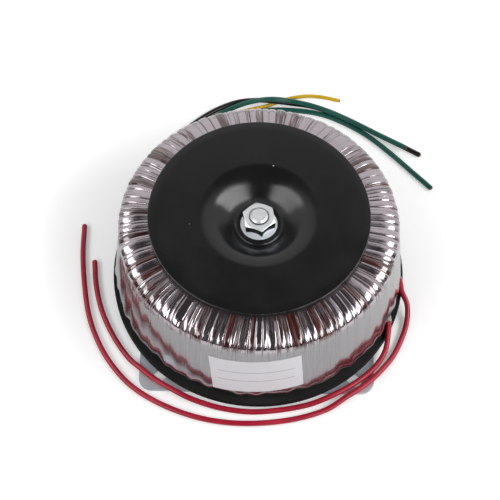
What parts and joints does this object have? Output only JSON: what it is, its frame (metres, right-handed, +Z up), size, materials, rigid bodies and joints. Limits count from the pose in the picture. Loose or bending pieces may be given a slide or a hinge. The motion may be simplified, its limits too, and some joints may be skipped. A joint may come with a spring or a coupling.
{
  "type": "toroidal transformer",
  "caption": "Toroidal power transformer: film-wrapped wound ring clamped by a dished washer to a slotted mounting plate, with loose lead wires.",
  "frame": {"origin": "centre of the mounting plate's underside, on the axis of the centre bolt", "axes": "+Z up along the ring's axis and the bolt; +X and +Y along the plate's sides; the label faces -Y"},
  "size_m": [0.2166, 0.2313, 0.072],
  "materials": {
    "zinc_plate": "zinc plated, satin",
    "zinc_hardware": "bright zinc plated",
    "black_steel": "semi-gloss black paint",
    "rubber": "matt black",
    "core_steel": "wound silicon steel strip",
    "tape": "polyester tape",
    "enamelled_wire": "enamelled copper, gloss",
    "film": "clear glossy film over the winding",
    "label_paper": "bare white",
    "sleeving": "woven insulating sleeve",
    "red_pvc": "soft gloss",
    "green_pvc": "soft gloss",
    "black_pvc": "soft gloss",
    "yellow_pvc": "soft gloss"
  },
  "bodies": {
    "root": {"base_plate": "zinc_plate", "base_pad": "rubber", "core": "core_steel", "core_tape": "tape", "primary_winding": "enamelled_wire", "interlayer_tape": "tape", "secondary_winding": "enamelled_wire", "film_wrap": "film", "top_pad": "rubber", "clamping_washer": "black_steel", "flat_washer": "zinc_hardware", "hex_nut": "zinc_hardware", "centre_bolt": "zinc_hardware", "label": "label_paper", "red_lead_sleeves": "sleeving", "rear_lead_sleeves": "sleeving", "red_lead_outer": "red_pvc", "red_lead_inner": "red_pvc", "green_lead_long": "green_pvc", "green_lead_short": "green_pvc", "black_lead": "black_pvc", "yellow_lead": "yellow_pvc"}
  },
  "joints": []
}
